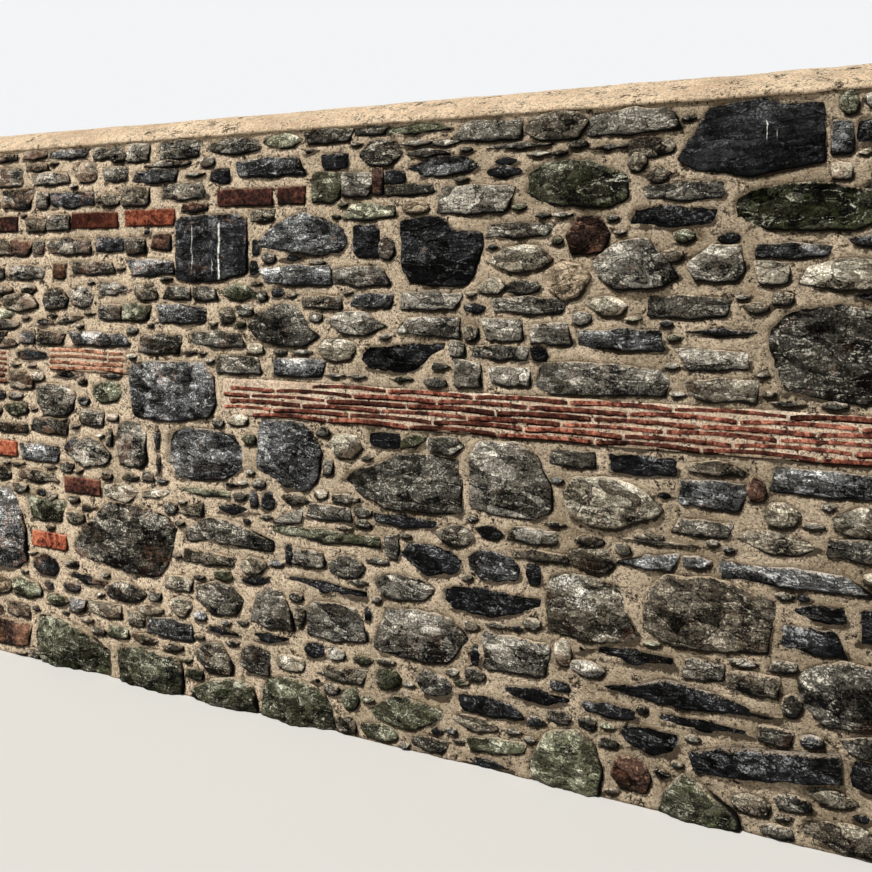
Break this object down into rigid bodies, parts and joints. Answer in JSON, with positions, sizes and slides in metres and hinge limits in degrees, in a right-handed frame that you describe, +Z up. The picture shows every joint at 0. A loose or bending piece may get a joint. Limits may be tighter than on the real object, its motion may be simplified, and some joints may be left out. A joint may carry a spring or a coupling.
{
  "type": "rubble stone garden wall",
  "caption": "Straight stretch of mortared random rubble stone garden wall with a rounded mortar capping, bands of thin clay tiles and a few odd bricks let into its face.",
  "frame": {"origin": "centre of the wall's foot, on the ground under the middle of its length and thickness", "axes": "+X along the wall, +Z up, -Y out of the face with the tile bands"},
  "size_m": [4.8, 0.5, 1.9298],
  "materials": {
    "wall_mortar": "rough sandy lime mortar, smeared nearly flush",
    "cap_mortar": "trowelled sandy mortar, rounded and weathered",
    "tile_mortar": "fine pinkish mortar between tiles",
    "clay_tile": "matt fired clay, edges chipped",
    "red_brick": "rough orange-red fired clay",
    "dark_brick": "rough overburnt clay, near black",
    "dark_slate": "split slate, near black with pale edges",
    "grey_stone": "rough dark limestone with pale speckle and veins",
    "mossy_stone": "dark stone under green moss and algae",
    "pale_stone": "pale weathered stone with a lichen bloom",
    "brown_stone": "grey-brown sandstone, bedded"
  },
  "bodies": {
    "root": {"masonry": "wall_mortar", "capping": "cap_mortar", "long_band_tiles": "clay_tile", "long_band_bedding": "tile_mortar", "short_band_tiles": "clay_tile", "short_band_bedding": "tile_mortar", "left_band_tiles": "clay_tile", "left_band_bedding": "tile_mortar", "red_bricks": "red_brick", "dark_bricks": "dark_brick", "slate_flagstone": "dark_slate", "veined_block": "grey_stone", "black_block": "dark_slate", "right_boulder": "grey_stone", "mossy_upper_stone": "mossy_stone", "long_mossy_stone": "mossy_stone", "rough_knob_stone": "pale_stone", "layered_grey_stone": "grey_stone", "leaning_dark_stone": "grey_stone", "black_lens_stone": "dark_slate", "long_grey_stone": "grey_stone", "band_end_block": "grey_stone", "broad_dark_stone": "grey_stone", "five_sided_stone": "grey_stone", "faceted_block": "brown_stone", "square_grey_block": "grey_stone", "pale_boulder": "pale_stone", "left_edge_boulder": "grey_stone", "big_rubble_block": "grey_stone", "curved_slab": "grey_stone", "great_lower_block": "brown_stone", "pale_topped_stone": "pale_stone", "round_lower_boulder": "grey_stone", "grey_lower_block": "grey_stone", "black_hollow_slab": "dark_slate", "long_black_wedge": "dark_slate", "long_foot_slab": "dark_slate", "lesser_stones": "grey_stone", "left_foot_stones": "mossy_stone", "right_foot_stones": "mossy_stone", "left_run_stones": "grey_stone", "right_run_stones": "grey_stone", "back_stones": "grey_stone", "left_end_stones": "grey_stone", "right_end_stones": "grey_stone"}
  },
  "joints": []
}
